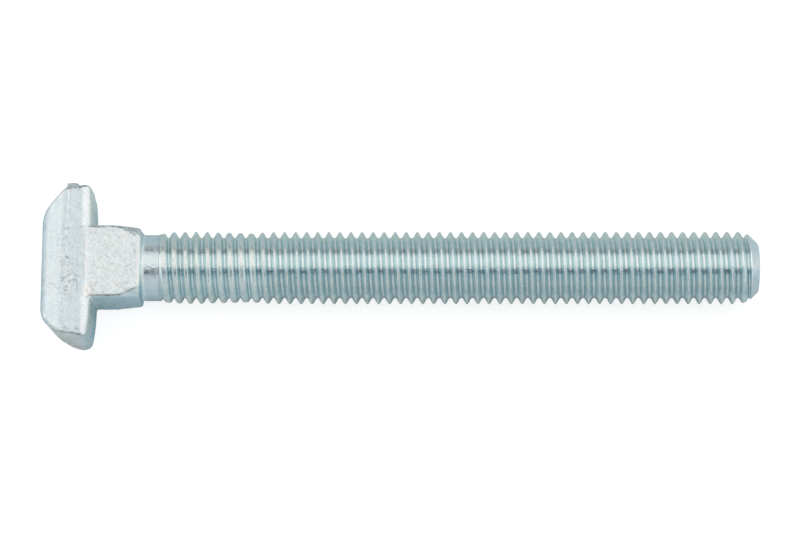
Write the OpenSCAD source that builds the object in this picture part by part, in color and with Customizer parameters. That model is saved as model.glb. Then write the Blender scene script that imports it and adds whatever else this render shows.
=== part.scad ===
// Hammer head bolt, M10 x 90, with a square neck under the head.
// The bolt lies along X: head at -X, threaded end at +X, long side of the head along Y.
// The origin is on the bolt's axis, in the plane of the bearing face under the head.
// The thread is a plain cylinder of its major diameter.

/* [Head] */
// Length of the head across the bolt, at its longest point
head_len = 21; // [17.5:0.5:25.5]
// Width of the head between its two flat sides
head_w = 10.2; // [10:0.1:12.4]
// Thickness of the head along the bolt
head_t = 6.95; // [5.7:0.05:8.4]
// Size of the end bevels along the bolt
bevel_t = 2.85; // [1.5:0.05:3.6]
// Size of the end bevels along the head
bevel_len = 3.55; // [2:0.05:4.5]
// Draft of the end faces in degrees
end_draft = 7; // [0:1:12]
// Draft of the flat sides in degrees, over the bevelled part
side_draft = 5; // [0:1:8]
// Radius of the long edges of the bearing face
bearing_edge_r = 1.3; // [0.5:0.1:2]
// Radius of the short edges of the bearing face
bearing_end_r = 1.2; // [0.4:0.1:1.6]
// Radius of the edges round the outer face
outer_edge_r = 0.7; // [0.3:0.1:1.2]

/* [Flash] */
// Height of the flash lip above the end of the head
flash_h = 0.45; // [0.2:0.05:0.8]
// Thickness of the flash lip along the bolt
flash_t = 1.55; // [1:0.05:2.2]
// Length of the flash lip across the end of the head
flash_len = 8.4; // [5:0.1:9.2]
// Distance from the bearing face to the middle of the flash lip
flash_place = 2.75; // [2.2:0.05:3.2]

/* [Neck] */
// Side of the square neck
neck_w = 9.9; // [9.4:0.1:10]
// Length of the neck from the bearing face to its round end
neck_len = 6.4; // [5.3:0.1:7.7]
// Radius of the long edges of the neck
neck_edge_r = 0.5; // [0.2:0.1:1.2]
// Radius between the neck and the bearing face
neck_fillet = 0.5; // [0.2:0.1:1]
// Diameter across the corners at the round end of the neck
neck_end_d = 11.9; // [11.2:0.05:12.8]
// Radius of the rim of the round end
neck_end_r = 0.8; // [0.4:0.1:1.2]
// Length of the cone between the neck and the shank
neck_cone = 0.45; // [0.2:0.05:0.8]

/* [Shank] */
// Length of the bolt under its head
bolt_len = 90; // [75:1:108]
// Diameter of the plain shank
shank_d = 8.96; // [8.6:0.02:9.4]
// Major diameter of the thread
thread_d = 9.82; // [9.74:0.01:9.97]
// Distance from the bearing face to the end of the plain shank
plain_len = 8.6; // [7.6:0.1:10.4]
// Length over which the thread rises to its full diameter
lead_len = 2.4; // [1:0.1:3.6]
// Diameter of the flat point
point_d = 6.5; // [5.4:0.1:7.8]

/* [Hidden] */
$fn = 96;

zinc = "#c9dade";
reach = 4 * head_len;
arc_step = 8;
half_len = head_len / 2;
half_w = head_w / 2;
shank_r = shank_d / 2;
thread_r = thread_d / 2;
point_r = point_d / 2;
point_chamfer = thread_r - point_r;

// Corners of the head, seen from its flat side and along its length
outer_x = -head_t;
bevel_x = bevel_t - head_t;
end_y = half_len + bearing_end_r * (1 / cos(end_draft) + tan(end_draft) - 1);
bevel_y = end_y + bevel_x * tan(end_draft);
outer_y = bevel_y - bevel_len;
outer_z = half_w - bevel_t * tan(side_draft);

// The neck's turned outline leans by this many degrees, and starts inside the head
neck_lean = 12;
neck_root = -head_t / 2;
neck_cone_r = neck_w / 2 + 0.2;

function unit(v) = v / norm(v);
function place(corner) = [corner[0], corner[1]];

// Vector v turned by an angle in degrees
function swing(v, angle) =
    [v[0] * cos(angle) - v[1] * sin(angle), v[0] * sin(angle) + v[1] * cos(angle)];

// Corner b [x, y, radius] between its neighbours a and c, as points along its arc
function corner_points(a, b, c) =
    b[2] == 0 ? [place(b)] :
    let (u = unit(place(a) - place(b)))
    let (w = unit(place(c) - place(b)))
    let (half = acos(u * w) / 2)
    let (centre = place(b) + unit(u + w) * b[2] / sin(half))
    let (start = place(b) + u * b[2] / tan(half) - centre)
    let (turn = sign(u[1] * w[0] - u[0] * w[1]) * (180 - 2 * half))
    let (steps = ceil(abs(turn) / arc_step))
    [for (i = [0:steps]) centre + swing(start, turn * i / steps)];

// One half of an outline, followed by its mirror image in reverse
function both_halves(half) =
    let (n = len(half))
    concat(half, [for (i = [n - 1:-1:0]) [half[i][0], -half[i][1], half[i][2]]]);

// Outline from corners [x, y, radius]
module rounded_outline(corners) {
    n = len(corners);
    polygon([
        for (i = [0:n - 1])
            each corner_points(corners[(i + n - 1) % n], corners[i], corners[(i + 1) % n])
    ]);
}

// Solid of revolution about the bolt's axis, from an outline of radius against length
module turned() {
    rotate([0, 90, 0])
        rotate_extrude()
            children();
}

// Outline of the head from its flat side, with bevelled ends and drafted end faces
module head_side() {
    linear_extrude(height = reach, center = true)
        rounded_outline(both_halves([
            [0, end_y, bearing_end_r],
            [bevel_x, bevel_y, outer_edge_r],
            [outer_x, outer_y, outer_edge_r]
        ]));
}

// Outline of the head along its length, with rounded bearing edges and a drafted outer part
module head_plan() {
    rotate([90, 0, 0])
        linear_extrude(height = reach, center = true)
            rounded_outline(both_halves([
                [0, half_w, bearing_edge_r],
                [bevel_x, half_w, 0],
                [outer_x, outer_z, outer_edge_r]
            ]));
}

module head() {
    intersection() {
        head_side();
        head_plan();
    }
}

// Lip of metal squeezed out between the dies at one end of the head
module flash() {
    root_y = half_len - 2 * flash_h;
    linear_extrude(height = flash_len, center = true)
        rounded_outline([
            [-flash_place - flash_t / 2, root_y, 0],
            [-flash_place + flash_t / 2, root_y, 0],
            [-flash_place + flash_t / 2, half_len + flash_h, flash_h / 2],
            [-flash_place - flash_t / 2, half_len + flash_h, flash_h / 2]
        ]);
}

// Square bar, turned at its thread end to a rounded rim and a short cone
module neck() {
    intersection() {
        translate([neck_root, 0, 0])
            rotate([90, 0, 90])
                linear_extrude(height = neck_len + neck_cone - neck_root)
                    rounded_outline(both_halves([
                        [neck_w / 2, neck_w / 2, neck_edge_r],
                        [-neck_w / 2, neck_w / 2, neck_edge_r]
                    ]));
        turned()
            neck_profile();
    }
}

// Half section of the turned end of the neck, as radius against length
module neck_profile() {
    rounded_outline([
        [0, neck_root, 0],
        [neck_end_d / 2 + (neck_len - neck_root) * tan(neck_lean), neck_root, 0],
        [neck_end_d / 2, neck_len, neck_end_r],
        [0, neck_len, 0]
    ]);
    polygon([
        [0, 0],
        [neck_cone_r, 0],
        [neck_cone_r, neck_len],
        [shank_r, neck_len + neck_cone],
        [0, neck_len + neck_cone]
    ]);
}

// Fillet where one side of the neck meets the bearing face, fading out at its ends
module neck_root_fillet() {
    flat_z = half_w - bearing_edge_r;
    intersection() {
        translate([0, neck_w / 2, 0])
            linear_extrude(height = 2 * flat_z, center = true)
                difference() {
                    translate([-neck_fillet, -neck_fillet])
                        square(2 * neck_fillet);
                    translate([neck_fillet, neck_fillet])
                        circle(r = neck_fillet);
                }
        rotate([90, 0, 0])
            linear_extrude(height = reach, center = true)
                rounded_outline(both_halves([
                    [neck_fillet, flat_z - neck_fillet, 0],
                    [-neck_fillet, flat_z + neck_fillet, 0]
                ]));
    }
}

// Plain shank, thread and chamfered point, turned in one outline
module shank() {
    turned()
        polygon([
            [0, 0],
            [shank_r, 0],
            [shank_r, plain_len],
            [thread_r, plain_len + lead_len],
            [thread_r, bolt_len - point_chamfer],
            [point_r, bolt_len],
            [0, bolt_len]
        ]);
}

module bolt() {
    color(zinc)
        union() {
            head();
            flash();
            neck();
            neck_root_fillet();
            mirror([0, 1, 0])
                neck_root_fillet();
            shank();
        }
}

bolt();
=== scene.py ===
import math

import bpy
import numpy as np
from mathutils import Matrix, Vector


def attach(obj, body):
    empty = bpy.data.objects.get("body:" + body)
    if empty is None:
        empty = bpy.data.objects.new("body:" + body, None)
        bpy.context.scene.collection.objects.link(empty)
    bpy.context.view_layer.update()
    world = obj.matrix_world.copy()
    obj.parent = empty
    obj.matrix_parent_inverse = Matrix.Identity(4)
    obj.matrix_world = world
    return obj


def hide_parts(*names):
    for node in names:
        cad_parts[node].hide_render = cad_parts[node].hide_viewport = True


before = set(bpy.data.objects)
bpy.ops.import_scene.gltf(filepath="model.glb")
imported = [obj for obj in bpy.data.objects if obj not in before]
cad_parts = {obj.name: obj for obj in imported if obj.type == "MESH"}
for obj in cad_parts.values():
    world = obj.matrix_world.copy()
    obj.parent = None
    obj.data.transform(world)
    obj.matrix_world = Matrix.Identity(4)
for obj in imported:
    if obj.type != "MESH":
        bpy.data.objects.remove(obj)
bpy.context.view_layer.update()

mm = 0.001            # the shape is worked out in millimetres, along the CAD axes


def fade(x, start, end):  # 0 up to start and 1 from end on, smooth between
    t = np.clip((x - start) / (end - start), 0, 1)
    return t * t * (3 - 2 * t)


def roundAnd(a, b, r):  # what two fields share, with the edge between them rounded
    return np.minimum(np.maximum(a, b), -r) + np.hypot(np.maximum(a + r, 0), np.maximum(b + r, 0))


def roundOr(a, b, r):   # two fields together, with a fillet in the corner between them
    return -roundAnd(-a, -b, r)


def higher(a, b, soft):  # the larger of two heights, blended over soft mm where they are close
    near = np.clip(1 - np.abs(a - b) / soft, 0, 1)
    return np.maximum(a, b) + near * near * soft / 4


def lower(a, b, soft):    # the smaller of two, in the same way
    return -higher(-a, -b, soft)


def grain(p, size, seed):  # smooth noise between -1 and 1, with lumps of the given size
    side = 32             # points along each edge of the table of values
    table = np.random.default_rng(seed).uniform(-1, 1, (side, side, side))
    q = p / np.asarray(size, float)
    low = np.floor(q).astype(int)
    t = q - low
    t = t * t * (3 - 2 * t)
    total = np.zeros(len(p))
    for dx in (0, 1):
        for dy in (0, 1):
            for dz in (0, 1):
                share = np.abs(1 - dx - t[:, 0]) * np.abs(1 - dy - t[:, 1]) * np.abs(1 - dz - t[:, 2])
                i, j, k = ((low + (dx, dy, dz)) % side).T
                total += share * table[i, j, k]
    return total


view = {
    "lookAt": (41.39, 0.21, 0.04),  # mm
    "distance": 450,                # mm
    "elevation": 79,                # degrees above the floor
    "lens": 149.2,
}


def addCamera():
    tilt = math.radians(view["elevation"])
    back = Vector((0, -math.cos(tilt), math.sin(tilt)))
    up = Vector((0, math.sin(tilt), math.cos(tilt)))
    data = bpy.data.cameras.new("camera")
    data.lens = view["lens"]
    data.clip_start = 0.01  # m
    camera = bpy.data.objects.new("camera", data)
    bpy.context.collection.objects.link(camera)
    axes = Matrix((up.cross(back), up, back)).transposed()
    place = (Vector(view["lookAt"]) + back * view["distance"]) * mm
    camera.matrix_world = Matrix.Translation(place) @ axes.to_4x4()
    bpy.context.scene.camera = camera


bpy.context.scene.view_settings.view_transform = "Standard"
addCamera()
print("camera placed")


# The forged head and neck are distance fields in mm.

head = {
    "thick": 6.88,
    "halfWide": 5.1,
    "bevelX": -4.1,              # where the end bevels start
    "sideDraft": 5,              # degrees, over the bevelled part
    "lean": 0.008,               # slope of the outer face
    "hollowFrom": 5,             # the bearing face falls away from here
    "hollows": (0.008, 0.019),   # how fast it does so, towards the +Y and the -Y end
    "bearingEdge": 1.3,          # radius of its long edges
    "bearingEnds": (1.0, 1.22),  # radius at the +Y and the -Y end
    "outerEdge": 0.7,
    "sideEdge": 0.35,
    "roundedEdge": 1.05,         # what the long edges gain beside the outer face
    # the two ends: half length at the bearing face, draft in degrees, lean towards the +Z side and
    # bulge, then half length where the bevel starts, its slope and lean, and the radius before it
    "ends": [
        {"way": 1, "y": 10.656, "draft": 7, "lean": 0, "bulge": 0.38,
         "bevelY": 9.8, "bevelSlope": 1.19, "bevelLean": 0, "corner": 0.5},
        {"way": -1, "y": 10.64, "draft": 4.5, "lean": -0.03, "bulge": 0,
         "bevelY": 10.58, "bevelSlope": 1.4, "bevelLean": 0.08, "corner": 2.1},
    ],
    "leanZ": -4.7,               # where an end that leans has the half lengths above
}
lip = {"from": -3.54, "to": -1.98, "high": 10.93, "halfLong": 4.1, "edge": 0.08}
neck = {
    "long": 6.5,
    "top": 4.98,                 # half widths beside the head
    "bottom": 4.9,
    "front": 4.94,
    "taper": 0.0042,
    "edge": 0.28,
    "turnFrom": 3.4,             # where the corners start to be turned off
    "turnRadius": 6.87,
    "turnSlope": 0.3,
    "turnAxis": 0.13,            # they were turned about an axis a little off the middle
    "tilt": (0.02, 0.012),       # the turned end leans, along y and z
    "rims": (0.35, 0.72),        # radius of its rim on the -Y and the +Y side
    "coneRadius": 4.64,
    "coneLong": 0.1,
    "rootFillet": (0.1, 0.5),    # where it meets the head: at the flat sides, and between them
}
shank = {"radius": 4.48, "starts": 7.0}


def lipWindow(x):
    edge = lip["edge"]
    return fade(x, lip["from"] - edge, lip["from"]) * fade(x, lip["to"] + edge, lip["to"])


def hollow(y):  # how far the bearing face lies below its middle
    high, low = head["hollows"]
    start = head["hollowFrom"]
    return low * np.maximum(0, -y - start) ** 2 + high * np.maximum(0, y - start) ** 2


def endField(p, end):  # a drafted end face and its bevel
    x, y, z = p.T
    y = end["way"] * y
    leaning = z - head["leanZ"]
    lift = math.radians(end["draft"])
    bulge = end["bulge"] * (1 - (z / head["halfWide"]) ** 2) * fade(x, -2.5, -0.5)
    face = (y - end["y"] - bulge - x * math.tan(lift) - end["lean"] * leaning) * math.cos(lift)
    bevel = y - end["bevelY"] - (x - head["bevelX"]) * end["bevelSlope"] - end["bevelLean"] * leaning
    return roundAnd(face, bevel / math.hypot(1, end["bevelSlope"]), end["corner"])


def headField(p):
    x, y, z = p.T
    ends = np.maximum(*[endField(p, end) for end in head["ends"]])
    outer = -head["thick"] + head["lean"] * y - x
    bearing = x + hollow(y)
    bearing += 0.018 * np.maximum(0, y - 7.5) ** 2 * fade(z, 0, -3.5)  # one corner falls away further
    crease = 0.12
    drafted = np.logaddexp(0, (head["bevelX"] - x) / crease) * crease
    side = np.abs(z) - head["halfWide"] + drafted * math.tan(math.radians(head["sideDraft"]))
    body = roundAnd(ends, outer, head["outerEdge"])
    sideR = head["sideEdge"] + head["roundedEdge"] * fade(x, -4.9, -6.4) * fade(np.abs(y), 8.5, 6)
    sideR += 0.1 * lipWindow(x) * fade(y, 8, 9.5)
    body = roundAnd(body, side, sideR)
    endR = np.where(y > 0, *head["bearingEnds"])
    bearingR = head["bearingEdge"] + (endR - head["bearingEdge"]) * fade(np.abs(y), 8, 10)
    return roundAnd(body, bearing, bearingR)


def neckField(p):
    x, y, z = p.T
    narrower = neck["taper"] * np.maximum(x, 0) ** 2
    wide = np.maximum(y - neck["top"], -y - neck["bottom"]) + narrower
    front = np.abs(z) - neck["front"] + 0.3 * narrower
    bar = roundAnd(wide, front, neck["edge"])
    slope = neck["turnSlope"]
    turned = np.hypot(y - neck["turnAxis"], z) - neck["turnRadius"] + slope * (x - neck["turnFrom"])
    bar = roundAnd(bar, turned / math.hypot(1, slope), 0.2)
    leaning = x - neck["tilt"][0] * y - neck["tilt"][1] * z
    lowRim, highRim = neck["rims"]
    bar = roundAnd(bar, leaning - neck["long"], lowRim + (highRim - lowRim) * fade(y, -3, 3))
    r = np.hypot(y, z)
    drop = neck["coneRadius"] - shank["radius"]
    flank = math.hypot(drop, neck["coneLong"])
    cone = ((leaning - neck["long"]) * drop + (r - neck["coneRadius"]) * neck["coneLong"]) / flank
    bar = roundOr(bar, np.maximum(cone, r - neck["front"] + 0.1), 0.12)
    return np.maximum(roundOr(bar, r - shank["radius"], 0.2), -x - 3)


def forgingField(p):
    small, large = neck["rootFillet"]
    fillet = small + (large - small) * fade(np.abs(p[:, 2]), 4.8, 4.0)
    return roundOr(headField(p), neckField(p), fillet)


def addLip(p, normal):  # flash squeezed out at the +Y end
    x, y, z = p.T
    middle = (lip["from"] + lip["to"]) / 2
    high = lip["high"] - 0.1 * np.abs(x - middle) + 0.05 * grain(p, 0.8, 5)
    long = lip["halfLong"] + 0.15 * grain(p, 1.0, 6)
    share = lipWindow(x) * fade(np.abs(z), long + 0.25, long) * fade(normal[:, 1], 0.2, 0.6)
    p[:, 1] = y + (high - y) * share * (y > 9)


def settle(p, field, rounds=8):  # moves points onto the surface of a field, and gives its normals
    p = p.copy()
    step = 1e-4
    for turn in range(rounds + 1):
        value = field(p)
        slope = np.empty_like(p)
        for axis in range(3):
            nudge = np.zeros(3)
            nudge[axis] = step
            slope[:, axis] = (field(p + nudge) - field(p - nudge)) / (2 * step)
        size = np.maximum((slope ** 2).sum(1), 0.05)
        if turn < rounds:
            p -= (value / size)[:, None] * slope
    return p, slope / np.linalg.norm(slope, axis=1)[:, None]


def relax(p, faces, field, loose, rounds=8):  # evens out the loose points of a surface
    pairs = np.array([(face[i - 1], face[i]) for face in faces for i in range(len(face))])
    pairs = pairs[loose[pairs].any(1)]
    pairs = np.concatenate([pairs, pairs[:, ::-1]])
    share = np.bincount(pairs[:, 0], minlength=len(p))[:, None]
    for turn in range(rounds):
        total = [np.bincount(pairs[:, 0], p[pairs[:, 1], axis], len(p)) for axis in range(3)]
        total = np.stack(total, -1)
        middle = total[loose] / share[loose]
        p[loose] = settle((p[loose] + middle) / 2, field, 2)[0]


# The shank, thread and point are a radius in mm along the bolt and round it.

thread = {
    "pitch": 1.5,
    "crestAt": 22.69,      # a crest crosses the +Y side here
    "crestRadius": 4.91,
    "rootRadius": 4.08,
    "crestHalf": 0.105,    # half width of the flat the crests would have if sharp
    "crestSoft": 0.15,
    "rootSoft": 0.07,
    "flank": 30,           # degrees
    "start": 8.8,
    "end": 89.9,
    "pointRadius": 3.36,   # close to the end, from which the point widens
    "pointFrom": 0.05,
    "pointSlope": 0.96,
    "pointSoft": 0.12,
    "lowSide": 0.035,      # how much lower the first crests stay on the -Y side
    "around": 80,          # points round each turn
    "firstTurn": -10,      # whole turns before and after the crest given above
    "lastTurn": 44,
}
# the crests near the ends: distance along the bolt, radius they reach, and how much wider they are
fullness = [(8.9, 4.55, 0.1), (9.1, 4.62, 0.1), (9.3, 4.68, 0.1), (10.5, 4.84, 0.09),
            (12.2, 4.9, 0.06), (13.6, 4.93, 0.03), (15.1, 4.9, 0.04), (16.6, 4.82, 0.05),
            (18.2, 4.8, 0.06), (19.6, 4.77, 0.08), (21.0, 4.68, 0.08), (22.0, 4.76, 0.04),
            (23.2, 4.86, 0), (24.2, 4.91, 0), (87.5, 4.91, 0), (88.1, 4.64, 0.08), (89.5, 4.6, 0.08)]
# where the rows of points lie between one crest and the next, as shares of the pitch
crestRows = [0, 0.06, 0.11, 0.23, 0.375, 0.425, 0.5, 0.575, 0.625, 0.77, 0.89, 0.94]


def threadRadius(x, angle):
    pitch = thread["pitch"]
    phase = (x - thread["crestAt"]) / pitch - angle / (2 * math.pi)
    away = np.abs(phase - np.round(phase)) * pitch  # distance from the nearest crest line
    along, reach, wider = zip(*fullness)
    top = np.interp(x, along, reach) - thread["lowSide"] * (1 - np.cos(angle)) * fade(x, 27, 20)
    down = away - thread["crestHalf"] - np.interp(x, along, wider)
    flank = thread["crestRadius"] - down / math.tan(math.radians(thread["flank"]))
    profile = lower(higher(flank, thread["rootRadius"], thread["rootSoft"]), top, thread["crestSoft"])
    profile = top + (profile - top) * fade(x, 8.6, 9.6)  # the grooves deepen as the thread begins
    plain = shank["radius"] + 0.05 * fade(x, 8.4, 8.9)
    radius = np.where(x < thread["start"], plain, np.maximum(profile, 0))
    point = thread["pointRadius"] + (thread["end"] - thread["pointFrom"] - x) * thread["pointSlope"]
    return lower(radius, point, thread["pointSoft"])


# The mesh is patches of a grid, welded where they touch.

class Patches:
    def __init__(self):
        self.points, self.faces, self.maps, self.count = [], [], [], 0

    def keep(self, points, uv, faces):
        self.points.append(points)
        for face in faces:
            self.faces.append(face + self.count)
            self.maps.append(uv[face])
        self.count += len(points)

    def add(self, points, uv, flip=False):  # points and uv: rows by columns
        rows, columns = points.shape[:2]
        index = np.arange(rows * columns).reshape(rows, columns)
        quads = np.stack([index[:-1, :-1], index[1:, :-1], index[1:, 1:], index[:-1, 1:]], -1)
        quads = quads.reshape(-1, 4)
        if flip:
            quads = quads[:, ::-1]
        self.keep(points.reshape(-1, 3), uv.reshape(-1, 2), quads)

    def addFan(self, outer, inner, outerUv, innerUv):  # three steps outside to one inside
        faces = []
        base = len(outer)
        for k in range(len(inner) - 1):
            a, b = 3 * k, base + k
            corners = ([a + 1, b, a], [a + 2, b + 1, b, a + 1], [a + 3, b + 1, a + 2])
            faces += [np.array(face) for face in corners]
        self.keep(np.concatenate([outer, inner]), np.concatenate([outerUv, innerUv]), faces)

    def addCap(self, ring, uv):  # closes a ring with a fan of triangles
        count = len(ring) - 1
        middle = ring[:-1].mean(0)
        points = np.concatenate([ring[:-1], middle[None]])
        faces = [np.array([k, (k + 1) % count, count]) for k in range(count)]
        self.keep(points, np.concatenate([uv[:-1], uv[:-1].mean(0)[None]]), faces)


def grid(*axes):
    return np.meshgrid(*axes, indexing="ij")


def plane(a, b, place):  # a uv patch of a by b mm with its corner at place, in mm
    u, v = grid(np.asarray(a) - min(a), np.asarray(b) - min(b))
    return np.stack([u + place[0], v + place[1]], -1)


sheet = 84.0  # side of the uv square in mm
lowRow, highRow = 61, 72.5  # where two rows of forged patches lie on it
patches = Patches()

# the block that is settled onto the head and neck
block = {"outerX": -6.84, "halfNeck": 4.95, "halfLong": 10.5, "halfDeep": 5.1, "corner": 0.9}
acrossNeck = np.linspace(-block["halfNeck"], block["halfNeck"], 61)
besideNeck = np.linspace(block["halfNeck"], block["halfLong"], 35)
acrossHead = np.concatenate([-besideNeck[:0:-1], acrossNeck, besideNeck[1:]])
deep = np.linspace(-block["halfDeep"], block["halfDeep"], 61)
# closer together at both edges of the lip
alongHead = np.concatenate([np.linspace(block["outerX"], -3.8, 19), [-3.68, -3.61, -3.54, -3.47],
                            np.linspace(-3.32, -2.2, 8), [-2.05, -1.98, -1.91, -1.84],
                            np.linspace(-1.7, 0, 12)])
alongNeck = np.linspace(0, neck["long"], 41)


def headBlock(x, y, z):  # rounds the block near its ends, and narrows it towards the outer face
    p = np.stack(np.broadcast_arrays(x, y, z), -1)
    r = block["corner"] * fade(np.abs(p[..., 1:2]), 5.5, 8)
    low = np.array([block["outerX"], -block["halfLong"], -block["halfDeep"]])
    high = np.array([0, block["halfLong"], block["halfDeep"]])
    inner = np.clip(p, low + r, high - r)
    size = np.linalg.norm(p - inner, axis=-1, keepdims=True)
    x, y, z = np.moveaxis(inner + (p - inner) * r / np.maximum(size, 1e-9), -1, 0)
    x = x - hollow(y) * np.clip(1 + x / 1.7, 0, 1)
    bevelled = np.minimum(x - head["bevelX"], 0)
    narrow = np.where(x < head["bevelX"], 0.967 + bevelled * 0.1186, 1 + x * 0.008)
    return np.stack([x, y * narrow, z * (1 + bevelled * 0.0165)], -1)


def neckBlock(x, y, z):  # leans the block as the neck's turned end does
    x, y, z = np.broadcast_arrays(x, y, z)
    return np.stack([x + x / neck["long"] * (neck["tilt"][0] * y + neck["tilt"][1] * z), y, z], -1)


def buildForging():
    for way, left in ((1, 1), (-1, 16)):  # the flat sides
        x, y = grid(alongHead, acrossHead)
        uv = plane(alongHead, acrossHead, (left, lowRow))
        patches.add(headBlock(x, y, way * block["halfDeep"]), uv, way < 0)
        x, y = grid(alongNeck, acrossNeck)
        corner = (left - block["outerX"], lowRow + block["halfLong"] - block["halfNeck"])
        uv = plane(alongNeck, acrossNeck, corner)
        patches.add(neckBlock(x, y, way * block["halfDeep"]), uv, way < 0)
    y, z = grid(acrossHead, deep)  # the outer face
    patches.add(headBlock(block["outerX"], y, z), plane(acrossHead, deep, (31, lowRow)), True)
    for part, left in ((-besideNeck[::-1], 31), (besideNeck, 38)):  # the bearing face
        y, z = grid(part, deep)
        patches.add(headBlock(0.0, y, z), plane(part, deep, (left, highRow)), False)
    x, z = grid(alongHead, deep)  # the ends
    for way, left in ((-1, 45), (1, 53.5)):
        uv = plane(alongHead, deep, (left, highRow))
        patches.add(headBlock(x, way * block["halfLong"], z), uv, way > 0)
    x, z = grid(alongNeck, deep)  # the neck's other two sides
    for way, left in ((-1, 53.5), (1, 61)):
        uv = plane(alongNeck, deep, (left, lowRow))
        patches.add(neckBlock(x, way * block["halfNeck"], z), uv, way > 0)


def buildNeckEnd():  # from the neck's square end to a circle on the shank, then to the thread's points
    edge = len(acrossNeck) - 1
    wide, tall = np.full(edge, block["halfNeck"]), np.full(edge, block["halfDeep"])
    y = np.concatenate([acrossNeck[:-1], wide, -acrossNeck[:-1], -wide, [-block["halfNeck"]]])
    z = np.concatenate([-tall, deep[:-1], tall, -deep[:-1], [-block["halfDeep"]]])
    angle = math.radians(225) + np.arange(4 * edge + 1) * math.radians(90 / edge)
    steps = np.linspace(0, 1, 9)[:, None]
    r = shank["radius"]
    square = neckBlock(neck["long"], y, z)
    circle = np.stack([shank["starts"] + 0 * y, r * np.cos(angle), r * np.sin(angle)], -1)
    rings = square + (circle - square) * steps[..., None]
    circle = np.stack([np.cos(angle), np.sin(angle)], -1)
    middle = np.array([75.5, 67.5])  # its place on the uv square
    patches.add(rings, middle + np.linspace(6.2, 4.5, 9)[:, None, None] * circle, True)
    outer = rings[-1]
    inner = outer[::3] + (0.15, 0, 0)
    patches.addFan(outer, inner, middle + 4.5 * circle, middle + 4.3 * circle[::3])


def buildThread():
    pitch, around = thread["pitch"], thread["around"]
    turn = np.linspace(0, 1, around + 1)
    first = thread["crestAt"] + pitch * thread["firstTurn"]
    last = thread["crestAt"] + pitch * thread["lastTurn"]
    turns = thread["lastTurn"] - thread["firstTurn"]
    plainRows = np.linspace(shank["starts"] + 0.15, first, 5)[:-1, None] + 0 * turn
    rows = np.array(crestRows)[:, None]
    opening = first + pitch * rows * turn  # fans out from one point
    whole = [first + pitch * (k + row + turn) for k in range(turns - 1) for row in crestRows]
    closing = last - pitch * (1 - rows) * (1 - turn)
    tipRows = np.linspace(last, thread["end"] - 0.02, 16)[:, None] + 0 * turn
    x = np.concatenate([plainRows, opening, whole, closing, tipRows])
    angle = 2 * math.pi * turn + 0 * x
    radius = threadRadius(x, angle)
    points = np.stack([x, radius * np.cos(angle), radius * np.sin(angle)], -1)
    stretch = 2 * (sheet - 3) / (thread["end"] - shank["starts"] + pitch)
    half = len(x) // 2  # two strips on the uv square, one above the other
    for rows, bottom in ((slice(0, half + 1), 1), (slice(half, None), 30.5)):
        part = x[rows]
        uv = np.stack([1 + (part - part.min()) * stretch, bottom + 28.5 * turn + 0 * part], -1)
        patches.add(points[rows], uv, True)
    rim = points[-1]
    shares = np.array([0.985, 0.93, 0.7, 0.45, 0.2])  # rings on the flat face of the point
    disc = shares[:, None, None] * rim[:, 1:]
    disc = np.concatenate([np.full((len(shares), around + 1, 1), thread["end"]), disc], -1)
    disc = np.concatenate([rim[None], disc])
    uv = np.array([64.5, 77.0]) + disc[..., 1:] * 0.98
    patches.add(disc, uv, True)
    patches.addCap(disc[-1], uv[-1])


def weld(points, faces):
    keys = np.round(points * 1e4).astype(np.int64)
    _, firstSeen, inverse = np.unique(keys, axis=0, return_index=True, return_inverse=True)
    return points[firstSeen], [inverse.ravel()[f] for f in faces]


skin = {
    "lumps": 0.012,       # mm, everywhere on the forging
    "drawnLines": 0.005,  # along the head, on the bevelled band
    "wrinkles": 0.045,    # depth where the skin is torn
    "orangePeel": 0.036,  # on the neck
    "flowLines": 0.016,   # slanting, on the neck
    "edgeCrack": 0.07,    # beside the trimmed edges
    "ridge": 0.05,        # along the head's flat sides
    "headGrain": 0.012,
}
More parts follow.
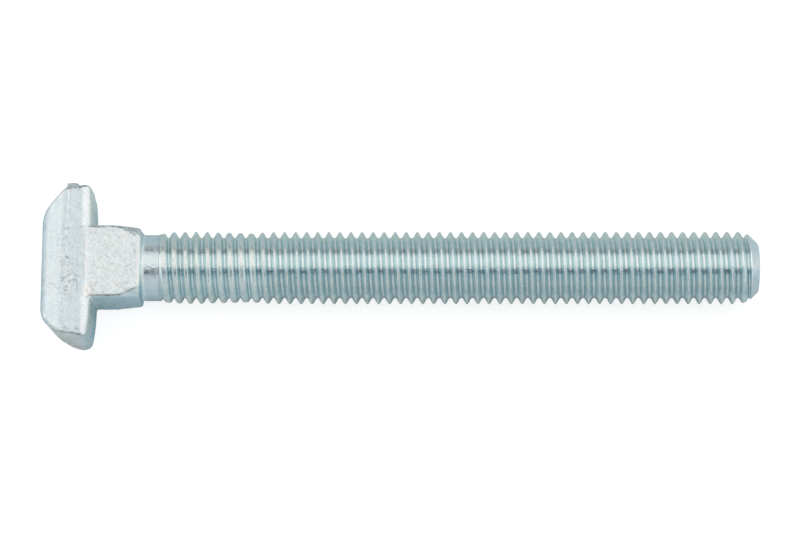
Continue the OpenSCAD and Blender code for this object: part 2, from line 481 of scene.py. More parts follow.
# small tears on the +Z side: x, y, half length, half width, angle in degrees, depth
tears = [
    (-3.3, 4.42, 0.3, 0.1, 0, 0.09), (-3.35, 0.5, 0.28, 0.12, -15, 0.1),
    (-2.6, 1.9, 0.3, 0.08, 80, 0.04), (-3.65, -2.2, 0.38, 0.08, 14, 0.08),
    (-3.0, -1.88, 0.28, 0.08, 35, 0.08), (-2.05, -2.0, 0.32, 0.08, -22, 0.09),
    (-3.9, -2.6, 0.4, 0.08, 50, 0.08), (-1.95, -3.0, 0.6, 0.07, 100, 0.06),
    (-2.33, -2.55, 0.24, 0.08, -28, 0.09), (-2.98, -2.97, 0.12, 0.1, 80, 0.08),
    (-3.27, -3.56, 0.15, 0.1, 60, 0.08), (-5.4, -3.1, 0.5, 0.08, -20, 0.04),
    (-4.6, -3.7, 0.5, 0.08, -45, 0.04), (-3.4, -4.4, 0.3, 0.08, 70, 0.05),
    (-2.8, -5.0, 0.3, 0.08, 30, 0.04), (-3.35, 2.9, 0.4, 0.08, 115, 0.07),
    (-4.5, 2.9, 0.25, 0.08, 60, 0.05), (-1.3, 4.7, 0.4, 0.08, 20, 0.05),
    (4.85, -0.62, 0.45, 0.07, 20, 0.07), (4.5, -3.0, 0.4, 0.07, 25, 0.07),
    (5.75, 1.4, 0.3, 0.08, 95, 0.07), (5.5, 2.3, 0.25, 0.07, 60, 0.06),
    (3.1, -0.4, 0.5, 0.06, -40, 0.04), (4.6, -3.9, 0.5, 0.06, 15, 0.05),
    (0.3, -0.4, 0.3, 0.08, 75, 0.06), (0.1, -1.3, 0.25, 0.08, 100, 0.05),
    (0.6, -3.1, 0.45, 0.07, 60, 0.07), (0.2, -4.0, 0.35, 0.08, 110, 0.08),
    (-0.6, -3.9, 0.4, 0.06, 105, 0.04), (-0.2, -4.72, 0.25, 0.1, 35, 0.1),
    (0.4, 3.9, 0.4, 0.08, -50, 0.06), (-1.75, 10.15, 0.3, 0.12, 80, 0.12),
    (-3.85, -8.55, 0.12, 0.07, 60, 0.05), (-3.35, -9.15, 0.35, 0.08, -20, 0.08),
    (-1.9, -9.3, 0.3, 0.1, -5, 0.11), (-1.88, 0.4, 1.9, 0.06, 91, 0.03),
    (-1.95, -3.9, 0.9, 0.06, 86, 0.03),
]


def bell(value, width):
    return np.exp(-(value / width) ** 2)


def wrinkled(p, size, seed, sharp):  # thin creases, 1 at their bottom
    return (1 - np.abs(grain(p, size, seed))) ** sharp


def tornShare(x, y):  # where the metal was torn as it was upset, from 0 to 1
    torn = 0.85 * bell(x + 4.0, 0.95) * fade(y, 5, 3.6) * fade(y, -0.8, 0.6)
    torn += bell(x + 3.1, 1.4) * fade(y, 0.9, -0.6) * fade(y, -4.9, -3.8)
    torn += 0.6 * bell(x + 2.9, 0.9) * fade(y, -3.6, -4.4) * fade(y, -7.2, -5.8)
    torn += 0.85 * bell(x + 5.4, 0.8) * bell(y + 4.0 + 0.35 * (x + 5.4), 0.6)
    torn += 0.6 * bell(x + 1.75, 0.14) * fade(y, 3.6, 2.6) * fade(y, -4.6, -3.8)
    besideHead = 0.8 + 0.4 * bell(y + 3.3, 1.0) + 0.4 * bell(y - 3.9, 0.8)
    torn += bell(x, 0.55) * besideHead * (np.abs(y) < 5)
    return np.clip(torn, 0, 1)


def edgeCracks(p, normal, neckShare):  # beside the trimmed edges, from 0 to 1
    x, y, z = p.T
    headShare = 1 - neckShare
    high = np.abs(z)
    # along the foot of the neck's flat sides, and round its turned corners
    turnedR = neck["turnRadius"] - neck["turnSlope"] * (x - neck["turnFrom"])
    cornerY = np.sqrt(np.maximum(turnedR ** 2 - neck["front"] ** 2, 4))
    cornerY = np.minimum(4.66 - neck["taper"] * np.maximum(x, 0) ** 2, cornerY)
    nearCorner = neckShare * fade(high, 4.3, 4.75) * fade(x, 6.1, 5.6)
    ragged = 0.07 * grain(p, 1.1, 18) + 0.05 * grain(p, 0.3, 25)
    crack = 1.3 * nearCorner * bell(y + cornerY + ragged, 0.1) * fade(x, -0.4, 0.1)
    shifted = y - cornerY - 0.12 * fade(x, 4.2, 3.0) - 0.07 * grain(p, 1.3, 19)
    crack += 0.85 * nearCorner * bell(shifted, 0.1) * fade(x, -0.6, -0.2)
    crack += 0.6 * nearCorner * bell(y - cornerY - 0.16, 0.16) * fade(x, 2.8, 3.8)
    # across the -Y end of the head
    headEdge = -9.6 - 0.15 * (x + 4.2) + 0.07 * grain(p, 0.9, 20) + 0.08 * grain(p, 0.3, 24)
    along = fade(x, -0.9, -1.4) * fade(x, -6.2, -4.4)
    crack += 1.2 * headShare * bell(y - headEdge, 0.11) * fade(high, 4.2, 4.7) * along
    # beside the lip at the +Y end, and along its foot
    farEdge = fade(y, 9.6, 10.1) * fade(high, 4.3, 4.8)
    along = fade(x, -1.95, -1.75) * fade(x, -0.1, -0.5)
    crack += headShare * farEdge * along * fade(normal[:, 1], 0.12, 0.4)
    crack += 0.55 * headShare * farEdge * lipWindow(x) * bell(normal[:, 1] - 0.45, 0.3)
    return np.clip(crack * (0.85 + 0.8 * grain(p, 0.4, 22)), 0, 1)


def surfaceMaps(p, normal):  # relief in mm, and from 0 to 1 where shade is painted in creases, tears and cracks, where edges are worn smoother and a highlight is painted on them, and where the skin is dull
    x, y, z = p.T
    flat = fade(np.abs(normal[:, 2]), 0.55, 0.95)
    neckShare = fade(x, -0.8, -0.6) * (np.abs(y) < 5.2)
    headShare = 1 - neckShare
    wobble = grain(p, 0.5, 21)
    high = skin["lumps"] * (grain(p, 1.5, 11) + 0.5 * grain(p, 0.6, 12))
    band = fade(x - 0.02 * y + 0.08 * wobble, -4.02, -4.26)  # the bevelled part
    high += skin["drawnLines"] * band * flat * grain(p, (0.35, 4, 4), 13)
    torn = tornShare(x, y) * flat
    creases = wrinkled(p, (0.36, 0.42, 0.42), 14, 5)
    high += skin["ridge"] * bell(x + 3.6, 0.16) * flat * fade(y, 2, 5) * fade(y, 10, 9)
    high += skin["headGrain"] * flat * headShare * grain(p, 0.4, 23)
    high -= skin["wrinkles"] * torn * creases * (0.6 + 0.4 * grain(p, 0.9, 15))
    slant = np.stack([(x + 0.75 * y) / 1.25, (y - 0.75 * x) / 1.25, z], -1)
    flow = flat * skin["flowLines"] * grain(slant, (0.35, 2.4, 2), 17)
    high += neckShare * (skin["orangePeel"] * grain(p, 0.36, 16) + flow)
    # painted shade: darker in the creases of torn skin, and below in the tears and the cracks beside the
    # edges
    creaseShade = 0.22 * torn * np.clip(creases * 1.6 - 0.75, 0, 1)
    for markX, markY, long, wide, turn, deep in tears:
        turn = math.radians(turn)
        u = (x - markX) * math.cos(turn) + (y - markY) * math.sin(turn)
        v = (y - markY) * math.cos(turn) - (x - markX) * math.sin(turn) + 0.05 * wobble
        tear = bell(u, long) * bell(v, wide) * flat * (z > 0)
        high -= deep * tear
        creaseShade = np.maximum(creaseShade, tear * min(1, deep * 9.5))
    crack = edgeCracks(p, normal, neckShare)
    high -= skin["edgeCrack"] * crack
    creaseShade = np.clip(np.maximum(creaseShade, crack), 0, 1)
    # worn smoother along the edges of the bearing face and beside the neck, where a highlight is also
    # painted
    edge = fade(x, -1.45, -1.2) * headShare * fade(np.abs(y), 4.3, 5.2)
    besideNeck = fade(x + 0.05 * wobble, -0.92, -0.74) * fade(x - 0.12 * wobble, -0.05, -0.3)
    besideNeck += 0.4 * bell(x + 0.3, 0.5)
    patch = bell(x + 0.7, 0.4) * bell(y + 3.7, 0.55)
    wearAndHighlight = np.clip(edge + (0.9 * besideNeck + 0.8 * patch) * (np.abs(y) < 5) * flat, 0, 1)
    dull = headShare * (1 - band) * (1 - edge) * flat
    dull = np.clip(dull * (0.85 + 0.3 * wobble), 0, 1)
    return high, {"creaseShade": creaseShade, "wearAndHighlight": wearAndHighlight, "dull": dull, "neck": neckShare, "torn": torn}


def makeBolt():
    buildForging()
    buildNeckEnd()
    buildThread()
    points = np.concatenate(patches.points)
    points, faces = weld(points, patches.faces)
    forged = points[:, 0] < shank["starts"] - 0.001  # the rest is already in its true place
    points[forged] = settle(points[forged], forgingField)[0]
    relax(points, faces, forgingField, forged & (points[:, 0] > 5.6))
    settled, normal = settle(points[forged], forgingField, 2)
    high, maps = surfaceMaps(settled, normal)
    high *= fade(settled[:, 0], shank["starts"] - 0.15, shank["starts"] - 0.5)
    settled += normal * high[:, None]
    addLip(settled, normal)
    points[forged] = settled
    corners, uvs = [], []
    for face, uv in zip(faces, patches.maps):
        keepCorner = [i for i in range(len(face)) if face[i] != face[i - 1]]
        if len(keepCorner) > 2:
            corners.append([int(face[i]) for i in keepCorner])
            uvs.append(uv[keepCorner])
    mesh = bpy.data.meshes.new("bolt")
    mesh.from_pydata((points * mm).tolist(), [], corners)
    layer = mesh.uv_layers.new(name="OFBake")
    layer.uv.foreach_set("vector", (np.concatenate(uvs) / sheet).astype(np.float32).ravel())
    for name, values in maps.items():
        full = np.zeros(len(points), np.float32)
        full[forged] = values
        mesh.attributes.new(name, "FLOAT", "POINT").data.foreach_set("value", full)
    mesh.shade_smooth()
    mesh.update()
    piece = bpy.data.objects.new("forgedBolt", mesh)
    bpy.context.collection.objects.link(piece)
    return piece


bolt = makeBolt()
print("bolt built:", len(bolt.data.polygons), "faces")


# The finish is zinc plate with a thin blue passivation.

forgedZinc = {
    "colour": (0.85, 0.91, 0.92),
    "dullColour": (0.755, 0.825, 0.85),
    "streakColour": (0.72, 0.83, 0.89),
    # painted highlight on the worn edges
    "edgeHighlightColour": (0.9, 0.93, 0.935),
    # painted shade in creases, tears, cracks, hollows and pits
    "paintedShadeColour": (0.2, 0.24, 0.26),
    # painted highlight on the tops of the relief
    "topHighlightColour": (0.97, 1.0, 1.0),
    # the head
    "endColour": (0.93, 0.92, 0.87),      # its ends have a warmer film
    "rustyColour": (1.0, 0.87, 0.80),
    "lipColour": (0.93, 0.92, 0.90),
    "ridgeShadeColour": (0.66, 0.76, 0.82),    # painted shade in a strip beside the ridge along it, and a painted highlight in the line beside that
    "ridgeHighlightColour": (0.97, 0.98, 0.98),
    "turningColour": (0.87, 0.91, 0.85),  # where the skin turns towards the thread
    # painted reflection of the floor on that turning, on the -Y side
    "turningFloorReflection": (0.86, 0.91, 0.92),
    "bearingColour": (1.0, 1.0, 0.94),
    "bearingFloorReflection": (0.64, 0.94, 1.0),      # painted reflection of the floor on the same face, close to the floor
    # the neck
    "neckColour": (0.865, 0.935, 0.935),
    "warmColour": (0.93, 0.91, 0.87),
    "lowerReflectionColour": (0.76, 0.88, 0.92),    # painted reflection of the floor: its side that faces -Y is bluer
    "upperReflectionColour": (0.84, 0.88, 0.87),    # painted reflection on its side that faces +Y
    "turnedShadeColour": (0.67, 0.68, 0.68),   # painted shade on the corner of that side, where it is turned off
    "foldColour": (0.98, 0.955, 0.89),    # a fold at one corner of its root
    # its turned end
    # painted highlight on the rim where it faces up
    "rimHighlightColour": (0.965, 0.97, 0.955),
    "coneHighReflection": (0.78, 0.87, 0.80),       # painted reflection on the cone: on the +Y side, in the middle, on the -Y side
    "coneMiddleReflection": (0.68, 0.84, 0.84),
    "coneLowReflection": (0.47, 0.70, 0.76),
    "filletColour": (0.94, 1.0, 1.0),
    "roughness": 0.40,
    "dullRoughness": 0.5,
    "wornRoughness": 0.3,
    # heights in metres
    "headGrain": 0.000032,
    "neckGrain": 0.00006,
    "drawnLines": 0.000012,
    "crumple": 0.00016,
}
rolledZinc = {
    "colour": (0.775, 0.845, 0.86),
    "dimmedTopColour": (0.70, 0.77, 0.785),    # painted dimming of the highlight on the top of the plain shank
    "runOutColour": (0.3, 0.36, 0.38),      # where the rolling dies began
    "crestColour": (0.78, 0.805, 0.785),
    "earlyColour": (0.795, 0.84, 0.82),     # the crests of the first turns
    "litColour": (0.77, 0.86, 0.89),        # painted reflection of the softbox on the crests on top
    "sideReflectionColour": (0.98, 0.94, 0.84),       # painted reflection on the crests on both sides
    "rootColour": (0.77, 0.83, 0.83),
    "flankColour": (0.715, 0.825, 0.83),
    "headwardLitColour": (0.79, 0.885, 0.88),  # painted brighter reflection on the flanks that face the head
    "grooveShadeColour": (0.52, 0.68, 0.71),       # painted shade at the foot of the flanks
    "besideReflectionColour": (0.74, 0.84, 0.68),     # painted yellower reflection in the grooves of the +Y side
    "footTint": (0.90, 0.97, 1.0),          # just below the top
    "highReflectionColour": (0.96, 0.96, 0.83),       # painted reflections on the flanks on the +Y side and on the -Y side
    "lowReflectionColour": (0.95, 1.0, 0.95),
    "pointColour": (0.91, 0.95, 0.95),
    "speckColour": (0.45, 0.48, 0.49),
    "shankRoughness": 0.13,
    "roughness": 0.2,
    "crestRoughness": 0.28,
    # heights in metres
    "shankLines": 0.00001,
    "threadLines": 0.000006,
    "shankDents": 0.000046,
    "threadDents": 0.000022,
    "grain": 0.000022,
}


class Nodes:  # a short way to write a node tree
    def __init__(self, tree):
        self.tree = tree
        self.tree.nodes.clear()

    def put(self, kind, inputs=None, **settings):
        node = self.tree.nodes.new(kind)
        for name, value in settings.items():
            setattr(node, name, value)
        for name, value in (inputs or {}).items():
            if isinstance(value, bpy.types.NodeSocket):
                self.tree.links.new(value, node.inputs[name])
            else:
                node.inputs[name].default_value = value
        return node

    def blend(self, share, first, second):  # two colours
        first, second = [(*c, 1) if isinstance(c, tuple) else c for c in (first, second)]
        inputs = {"Factor": share, 6: first, 7: second}
        return self.put("ShaderNodeMix", inputs, data_type="RGBA").outputs[2]

    def tint(self, share, colour, by):
        inputs = {"Factor": share, 6: colour, 7: (*by, 1)}
        return self.put("ShaderNodeMix", inputs, data_type="RGBA", blend_type="MULTIPLY").outputs[2]

    def between(self, share, first, second):  # two numbers
        return self.put("ShaderNodeMix", {"Factor": share, 2: first, 3: second}).outputs[0]

    def span(self, value, low, high, toLow=0.0, toHigh=1.0):
        inputs = {"Value": value, "From Min": low, "From Max": high, "To Min": toLow, "To Max": toHigh}
        return self.put("ShaderNodeMapRange", inputs, interpolation_type="SMOOTHSTEP").outputs[0]

    def noise(self, place, scale, detail=3.0, rough=0.5):
        return self.put("ShaderNodeTexNoise", {"Vector": place, "Scale": scale, "Detail": detail,
                                               "Roughness": rough}).outputs["Fac"]

    def plus(self, a, b):
        return self.put("ShaderNodeMath", {0: a, 1: b}).outputs[0]

    def times(self, a, b):
        return self.put("ShaderNodeMath", {0: a, 1: b}, operation="MULTIPLY").outputs[0]

    def timesPlus(self, a, by, b):
        return self.put("ShaderNodeMath", {0: a, 1: by, 2: b}, operation="MULTIPLY_ADD").outputs[0]

    def larger(self, a, b):
        return self.put("ShaderNodeMath", {0: a, 1: b}, operation="MAXIMUM").outputs[0]

    def absolute(self, a):
        return self.put("ShaderNodeMath", {0: a}, operation="ABSOLUTE").outputs[0]

    def window(self, value, rise, fall):  # 1 between the two, fading over each
        return self.times(self.span(value, *rise), self.span(value, *fall))

    def axes(self, vector):
        return self.put("ShaderNodeSeparateXYZ", {0: vector}).outputs

    def facing(self):  # the shading normal along the object's axes
        return self.axes(self.put("ShaderNodeTexCoord").outputs["Normal"])

    def map(self, name):
        return self.put("ShaderNodeAttribute", attribute_name=name).outputs["Fac"]

    def stretch(self, vector, by):
        return self.put("ShaderNodeVectorMath", {0: vector, 1: by}, operation="MULTIPLY").outputs[0]

    def millimetres(self, by=(1, 1, 1)):
        return self.stretch(self.put("ShaderNodeTexCoord").outputs["Object"], [s / mm for s in by])

    def turned(self, vector, degrees):  # about z
        inputs = {"Vector": vector, "Angle": math.radians(degrees)}
        return self.put("ShaderNodeVectorRotate", inputs, rotation_type="Z_AXIS").outputs[0]

    def shade(self, colour, by):
        return self.put("ShaderNodeVectorMath", {0: colour, "Scale": by}, operation="SCALE").outputs[0]

    def bump(self, height, distance, under=None):  # over the bump given as under
        inputs = {"Height": height, "Strength": 1.0, "Distance": distance}
        if under is not None:
            inputs["Normal"] = under
        return self.put("ShaderNodeBump", inputs).outputs[0]

    def output(self, shader):
        self.put("ShaderNodeOutputMaterial", {"Surface": shader.outputs[0]})

    def metal(self, colour, roughness, normal):
        shader = self.put("ShaderNodeBsdfPrincipled", {"Base Color": colour, "Metallic": 1.0,
                                                       "Roughness": roughness, "Normal": normal})
        self.output(shader)


def newMaterial(name):
    material = bpy.data.materials.new(name)
    material.use_nodes = True
    return material, Nodes(material.node_tree)


def forgedMaterial():
    look = forgedZinc
    material, n = newMaterial("forgedZinc")
    place = n.millimetres()
    broad, fine = n.noise(place, 0.8, 4.0), n.noise(place, 6.0, 3.0, 0.6)
    creaseShade, wearAndHighlight, dull, torn, neckSkin = [n.map(name) for name in ("creaseShade", "wearAndHighlight", "dull", "torn", "neck")]
    x, y, z = n.axes(place)
    facing = n.facing()
    colour = n.blend(dull, look["colour"], look["dullColour"])
    colour = n.blend(neckSkin, colour, look["neckColour"])
    warm = n.times(neckSkin, n.span(n.noise(place, 1.7, 3.0), 0.45, 0.62, 0.0, 0.55))
    colour = n.blend(warm, colour, look["warmColour"])
    streaks = n.span(n.noise(n.millimetres((2.6, 0.2, 0.2)), 1.0, 3.0, 0.6), 0.4, 0.62)
    bare = n.span(n.plus(dull, neckSkin), 0.3, 0.0)
    colour = n.blend(n.times(n.times(streaks, bare), 0.5), colour, look["streakColour"])

    # the sides of the neck, with painted reflections and painted shade, and the ends of the head
    # painted reflections on the neck's sides that face -Y and +Y
    colour = n.blend(n.times(neckSkin, n.span(facing["Y"], -0.5, -0.85)), colour, look["lowerReflectionColour"])
    colour = n.blend(n.times(neckSkin, n.span(facing["Y"], 0.3, 0.6)), colour, look["upperReflectionColour"])
    # painted shade on the turned corner of the +Y side
    turned = n.times(n.times(neckSkin, n.span(x, 3.3, 4.3)), n.span(facing["Y"], 0.25, 0.5))
    colour = n.blend(turned, colour, look["turnedShadeColour"])
    highEdge = n.times(n.span(neckSkin, 1.0, 0.0), n.span(facing["Y"], 0.2, 0.5, 0.0, 0.7))
    colour = n.blend(highEdge, colour, look["endColour"])
    onLip = n.window(x, (-3.7, -3.6), (-1.85, -1.95))
    colour = n.blend(n.times(onLip, n.span(y, 9.9, 10.05)), colour, look["lipColour"])
    atEnd = n.span(y, -8.0, -8.8)
    atEnd = n.times(atEnd, n.span(facing["Y"], -0.25, -0.5))
    colour = n.blend(atEnd, colour, look["endColour"])
    rusty = n.times(atEnd, n.span(n.noise(place, 1.1, 2.0), 0.44, 0.56))
    colour = n.blend(rusty, colour, look["rustyColour"])
    # painted highlight on the edges that are worn smoother
    colour = n.blend(wearAndHighlight, colour, look["edgeHighlightColour"])

    # the bearing face, bluer low down with a painted reflection of the floor
    # painted reflection of the floor on the -Y side of the turning
    low = n.window(y, (-2.0, -5.0), (-10.0, -9.2))
    turning = n.blend(low, look["turningColour"], look["turningFloorReflection"])
    colour = n.blend(n.span(facing["X"], 0.45, 0.7, 0.0, 0.8), colour, turning)
    # painted reflection of the floor on the low part of the bearing face
    lower = n.timesPlus(y, 0.15, z)
    low = n.times(n.span(lower, -0.6, -2.6), n.span(y, -10.0, -9.0))
    bearing = n.blend(low, look["bearingColour"], look["bearingFloorReflection"])
    colour = n.blend(n.span(facing["X"], 0.8, 0.98), colour, bearing)

    # the turned end of the neck, with a painted highlight on its up-facing rim and a painted reflection
    # on its cone
    leaning = n.timesPlus(y, -neck["tilt"][0], x)
    # painted highlight on the up-facing rim
    rim = n.times(n.span(leaning, 5.9, 6.15), n.span(facing["Z"], 0.4, 0.8))
    colour = n.blend(rim, colour, look["rimHighlightColour"])
    # painted reflection on the cone, changing from the -Y side to the +Y side
    toLow, toHigh = n.span(y, -1.5, -4.0), n.span(y, 2.5, 4.5)
    cone = n.blend(toLow, n.blend(toHigh, look["coneMiddleReflection"], look["coneHighReflection"]), look["coneLowReflection"])
    onCone = n.times(n.span(leaning, 6.34, 6.47), n.span(facing["X"], 0.45, 0.75))
    colour = n.blend(onCone, colour, cone)
    fillet = n.times(n.span(x, 6.55, 6.65), n.span(facing["X"], 0.75, 0.5))
    colour = n.blend(fillet, colour, look["filletColour"])
    fold = n.put("ShaderNodeVectorMath", {0: place, 1: (-0.45, -4.0, 5.0)}, operation="DISTANCE")
    colour = n.blend(n.span(fold.outputs["Value"], 1.1, 0.4, 0.0, 0.85), colour, look["foldColour"])
    mottle = n.times(n.span(broad, 0.3, 0.7, 0.93, 1.04), n.span(fine, 0.3, 0.7, 0.89, 1.1))
    colour = n.shade(colour, mottle)

    # painted highlights on the tops and painted shade in the hollows of the relief, drawn out aslant on
    # the neck and crumpled where the skin is torn
    slant = n.stretch(n.turned(place, 50), (1.25, 4.4, 3.0))
    askew = n.stretch(n.turned(place, -48), (1.7, 3.6, 2.6))
    drawn, crumpled = n.noise(slant, 1.0, 2.0, 0.7), n.noise(askew, 1.0, 3.0, 0.65)
    crumpled = n.between(0.5, crumpled, n.noise(place, 2.9, 3.0, 0.7))
    rough = n.larger(torn, n.times(neckSkin, 0.85))
    rough = n.larger(rough, n.times(atEnd, 0.5))
    rough = n.times(rough, n.span(leaning, 6.25, 6.0, 0.25, 1.0))
    relief = n.between(0.3, drawn, crumpled)
    relief = n.between(torn, relief, crumpled)
    litTops = n.span(relief, n.between(torn, 0.51, 0.49), n.between(torn, 0.59, 0.55), 0.0, 0.95)
    colour = n.blend(n.times(rough, litTops), colour, look["topHighlightColour"])
    # painted shade in the hollows of the relief
    hollows = n.span(relief, 0.45, 0.36, 0.0, n.between(torn, 0.24, 0.42))
    colour = n.blend(n.times(rough, hollows), colour, look["paintedShadeColour"])
    # painted shade in small pits
    pitShade = n.span(n.noise(place, 3.6, 2.0, 0.7), 0.44, 0.24)
    colour = n.blend(n.times(pitShade, n.between(neckSkin, 0.28, 0.2)), colour, look["paintedShadeColour"])

    # a ridge drawn along the head: a strip of painted shade beside a line of painted highlight
    ridge = n.plus(n.timesPlus(y, -0.03, x), 0.13)
    wavy = n.plus(ridge, n.between(n.noise(place, 1.5, 3.0, 0.7), -0.4, 0.4))
    onTop = n.times(n.span(z, 4.7, 4.9), n.span(y, 1.5, 3.0))
    # painted shade beside the ridge
    strip = n.window(wavy, (-4.12, -4.0), (-3.5, -3.6))
    colour = n.blend(n.times(n.times(strip, onTop), 0.35), colour, look["ridgeShadeColour"])
    # painted highlight beside the ridge
    line = n.window(wavy, (-3.56, -3.48), (-3.29, -3.37))
    broken = n.span(n.noise(n.millimetres((0.5, 1, 1)), 1.1, 2.0), 0.38, 0.5)
    colour = n.blend(n.times(n.times(line, broken), onTop), colour, look["ridgeHighlightColour"])
    # painted shade in the creases, tears and cracks
    colour = n.blend(n.times(creaseShade, n.span(fine, 0.3, 0.6, 0.6, 1.0)), colour, look["paintedShadeColour"])

    roughness = n.between(dull, look["roughness"], look["dullRoughness"])
    roughness = n.between(wearAndHighlight, roughness, look["wornRoughness"])
    roughness = n.times(roughness, n.span(broad, 0.3, 0.7, 0.85, 1.15))
    bump = n.bump(fine, n.between(neckSkin, look["headGrain"], look["neckGrain"]))
    lines = n.noise(n.millimetres((5, 0.4, 0.4)), 1.0, 3.0, 0.6)
    bump = n.bump(lines, look["drawnLines"], bump)
    bump = n.bump(relief, n.times(rough, look["crumple"]), bump)
    n.metal(colour, roughness, bump)
    return material


def rolledMaterial():
    look = rolledZinc
    material, n = newMaterial("rolledZinc")
    place = n.millimetres()
    radius = n.put("ShaderNodeVectorMath", {0: n.millimetres((0, 1, 1))}, operation="LENGTH")
    radius = radius.outputs["Value"]
    along = n.axes(place)["X"]
    broad, fine = n.noise(place, 0.8, 4.0), n.noise(place, 5.0, 3.0, 0.65)
    speckle = n.noise(n.millimetres((1.6, 0.8, 0.8)), 3.2, 2.0, 0.6)
    facing = n.facing()["X"]
    # the point is a cone, on which this sum stays the same
    coneSum = n.timesPlus(radius, 1 / thread["pointSlope"], along)
    onCone = thread["pointRadius"] / thread["pointSlope"] + thread["end"] - thread["pointFrom"]
    point = n.span(coneSum, onCone - 0.25, onCone - 0.07)
    threaded = n.span(along, 9.0, 9.3)
    early = n.span(along, 26.0, 22.0)  # the first turns have lower and wider crests
    crest = n.times(n.span(radius, n.between(early, 4.82, 4.55), n.between(early, 4.89, 4.7)), threaded)
    root = n.times(n.span(radius, 4.16, 4.11), threaded)

    # painted brighter reflection on the flanks that face the head
    flank = n.blend(n.span(facing, -0.1, -0.5), look["flankColour"], look["headwardLitColour"])
    # painted shade at the foot of the flanks, in the grooves
    colour = n.blend(n.span(radius, 4.42, 4.18), flank, look["grooveShadeColour"])
    y = n.axes(place)["Y"]
    # painted yellower reflection in the grooves of the +Y side
    paintedSideTint = n.times(n.span(y, 2.6, 3.8, 0.0, 0.8), n.span(radius, 4.7, 4.3))
    colour = n.blend(paintedSideTint, colour, look["besideReflectionColour"])
    away = n.absolute(n.plus(y, -0.2))
    # painted reflections on the flanks of the +Y and the -Y side
    highFlankReflection = n.times(n.span(y, 3.3, 4.1, 0.0, 0.85), n.span(radius, 4.1, 4.4))
    colour = n.blend(highFlankReflection, colour, look["highReflectionColour"])
    lowFlankReflection = n.times(n.span(y, -3.9, -4.4, 0.0, 0.85), n.span(radius, 4.1, 4.4))
    colour = n.blend(lowFlankReflection, colour, look["lowReflectionColour"])
    crestColour = n.blend(early, look["crestColour"], look["earlyColour"])
    # painted reflection on the crests on both sides
    paintedSideTint = n.span(n.absolute(y), 4.0, 4.6, 0.0, 0.8)
    # painted reflection of the softbox on the crests on top
    lit = n.span(away, 1.5, 0.9, 0.0, 0.8)
    crestColour = n.blend(n.times(lit, n.span(early, 1.0, 0.0)), crestColour, look["litColour"])
    colour = n.blend(crest, colour, n.blend(paintedSideTint, crestColour, look["sideReflectionColour"]))
    colour = n.blend(root, colour, look["rootColour"])
    colour = n.blend(point, colour, look["pointColour"])
    colour = n.blend(n.span(along, 8.9, 8.8), colour, look["colour"])

    # painted shade: darker on the -Y side of the thread, below the top
    lowSide = n.window(y, (-1.5, -2.4), (-4.4, -4.0))
    lowSide = n.times(lowSide, n.span(early, 1.0, 0.0, 0.0, 0.9))
    mottle = n.times(n.span(broad, 0.3, 0.7, 0.96, 1.03), n.span(fine, 0.3, 0.7, 0.94, 1.06))
    mottle = n.times(mottle, n.between(lowSide, 1.0, 0.9))
    foot = n.times(n.window(y, (-0.6, -1.0), (-2.4, -1.8)), threaded)
    colour = n.tint(foot, colour, look["footTint"])
    colour = n.shade(colour, mottle)
    specks = n.span(speckle, n.between(early, 0.62, 0.57), n.between(early, 0.72, 0.68), 0.0, 0.45)
    specks = n.times(specks, n.span(crest, 0.0, 1.0, 0.25, 1.0))
    colour = n.blend(specks, colour, look["speckColour"])
    runOut = n.window(along, (8.78, 8.92), (9.08, 8.94))
    colour = n.blend(n.times(runOut, 0.4), colour, look["runOutColour"])
    # painted dimming of the softbox highlight on the top of the plain shank
    middle = n.times(n.span(away, 1.5, 0.7), n.span(along, 8.9, 8.8))
    colour = n.blend(middle, colour, look["dimmedTopColour"])

    roughness = n.between(threaded, look["shankRoughness"], look["roughness"])
    roughness = n.between(crest, roughness, look["crestRoughness"])
    roughness = n.times(roughness, n.span(broad, 0.3, 0.7, 0.85, 1.15))
    lines = n.noise(n.millimetres((9, 0.35, 0.35)), 1.0, 3.0, 0.7)
    bump = n.bump(lines, n.between(threaded, look["shankLines"], look["threadLines"]))
    dents = n.noise(n.millimetres((4.6, 4.2, 4.2)), 1.0, 1.0, 0.5)
    bump = n.bump(dents, n.between(threaded, look["shankDents"], look["threadDents"]), bump)
    bump = n.bump(fine, look["grain"], bump)
    n.metal(colour, roughness, bump)
    return material


bolt.data.materials.append(forgedMaterial())
bolt.data.materials.append(rolledMaterial())
middles = np.array([f.center.x for f in bolt.data.polygons])
rolled = middles > (shank["starts"] + 0.05) * mm
bolt.data.polygons.foreach_set("material_index", rolled.astype(np.int32))
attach(bolt, "root")
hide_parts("bolt")
print("zinc plated")


# A white tent with one softbox, and two dark flags beside it.

studio = {
    "floorZ": -5.1,              # mm, where the head lies
    "floorHalf": 6,              # m
    "floorColour": (0.35, 0.35, 0.35),
    "floorGlow": 0.785,
    "fill": (0.50, 0.54, 0.57),
    "softboxLevel": 1.03,
    "softbox": (-13, 46),        # degrees from straight up towards +Y
    "softboxFar": 0.6,           # m
    "softboxLong": 1.5,          # m
    "tentFar": 0.7,              # m
    "tentEnds": (-0.75, 0.85),   # m, along the bolt
    "tentTop": 0.75,             # m
    # parts of the tent round the bolt: angles as above, and colour
    "walls": [
        ("frontWall", -96, -31, (0.59, 0.66, 0.685)),
        ("frontFlag", -31, -16, (0.005, 0.03, 0.05)),
        ("frontGap", -16, -13, (0.56, 0.6, 0.61)),
        ("softboxBack", -13, 46, (0, 0, 0)),
        ("backGap", 46, 51, (0.56, 0.6, 0.61)),
        ("backFlag", 51, 62, (0.1, 0.13, 0.145)),
        ("backWall", 62, 96, (0.52, 0.585, 0.60)),
    ],
    "endWall": 0.95,
    "underCard": (0.5, 0.59, 0.62),
}


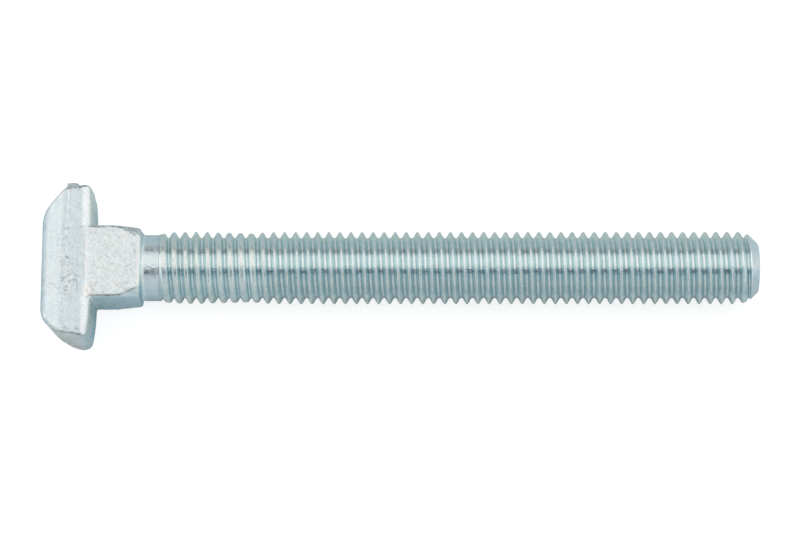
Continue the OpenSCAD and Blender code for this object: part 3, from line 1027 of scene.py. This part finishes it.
def addObject(name, points, material, faces=((0, 1, 2, 3),)):
    mesh = bpy.data.meshes.new(name)
    mesh.from_pydata(points, [], faces)
    mesh.materials.append(material)
    item = bpy.data.objects.new(name, mesh)
    bpy.context.collection.objects.link(item)
    return item


def reflectionOnly(item):  # the bolt mirrors it, and nothing else sees it
    item.visible_camera = False
    item.visible_diffuse = False
    item.visible_shadow = False
    item.visible_transmission = False


def glowing(name, colour, level):
    material, n = newMaterial(name)
    glow = n.put("ShaderNodeEmission", {"Color": (*colour, 1), "Strength": level})
    n.output(glow)
    return material


def seenDirectly(n):  # 1 for rays from the camera, from metal and through glass
    path = n.put("ShaderNodeLightPath").outputs
    return n.larger(n.larger(path["Is Camera Ray"], path["Is Glossy Ray"]), path["Is Transmission Ray"])


def addFloor():
    material, n = newMaterial("paleFloor")
    cloth = n.put("ShaderNodeBsdfDiffuse", {"Color": (*studio["floorColour"], 1)})
    glow = n.put("ShaderNodeEmission", {"Strength": n.times(seenDirectly(n), studio["floorGlow"])})
    both = n.put("ShaderNodeAddShader", {0: cloth.outputs[0], 1: glow.outputs[0]})
    n.output(both)
    z, half = studio["floorZ"] * mm, studio["floorHalf"]
    points = [(-half, -half, z), (half, -half, z), (half, half, z), (-half, half, z)]
    addObject("floor", points, material)


def addWorld():
    world = bpy.data.worlds.new("studio")
    bpy.context.scene.world = world
    world.use_nodes = True
    n = Nodes(world.node_tree)
    colour = n.blend(seenDirectly(n), studio["fill"], (1, 1, 1))
    back = n.put("ShaderNodeBackground", {"Color": colour})
    n.put("ShaderNodeOutputWorld", {"Surface": back.outputs[0]})


def addSoftbox():
    low, high = studio["softbox"]
    far = studio["softboxFar"]
    middle = math.radians((low + high) / 2)
    lamp = bpy.data.lights.new("softbox", "AREA")
    lamp.shape = "RECTANGLE"
    lamp.size = studio["softboxLong"]
    lamp.size_y = 2 * far * math.tan(math.radians((high - low) / 2))
    lamp.energy = studio["softboxLevel"] * math.pi * lamp.size * lamp.size_y
    item = bpy.data.objects.new("softbox", lamp)
    item.location = (0.04, far * math.sin(middle), far * math.cos(middle))
    item.rotation_euler = (-middle, 0, 0)
    item.visible_camera = False
    bpy.context.collection.objects.link(item)


def addTent():
    far = studio["tentFar"]
    near, end = studio["tentEnds"]
    for name, low, high, colour in studio["walls"]:
        steps = [math.radians(a) for a in np.linspace(low, high, 9)]
        points = [(x, far * math.sin(a), far * math.cos(a)) for a in steps for x in (near, end)]
        faces = [(2 * i, 2 * i + 1, 2 * i + 3, 2 * i + 2) for i in range(len(steps) - 1)]
        reflectionOnly(addObject(name, points, glowing(name, colour, 1), faces))
    low, high = -0.01, studio["tentTop"]
    for name, x in (("headEndWall", near), ("pointEndWall", end)):
        points = [(x, -far, low), (x, far, low), (x, far, high), (x, -far, high)]
        reflectionOnly(addObject(name, points, glowing(name, (1, 1, 1), studio["endWall"])))
    material, n = newMaterial("underCard")
    card = n.put("ShaderNodeBsdfDiffuse", {"Color": (*studio["underCard"], 1)})
    n.output(card)
    z = (studio["floorZ"] + 0.05) * mm  # just above the floor
    points = [(near, -far, z), (end, -far, z), (end, far, z), (near, far, z)]
    reflectionOnly(addObject("underCard", points, material))


addFloor()
addWorld()
addSoftbox()
addTent()
print("studio ready")
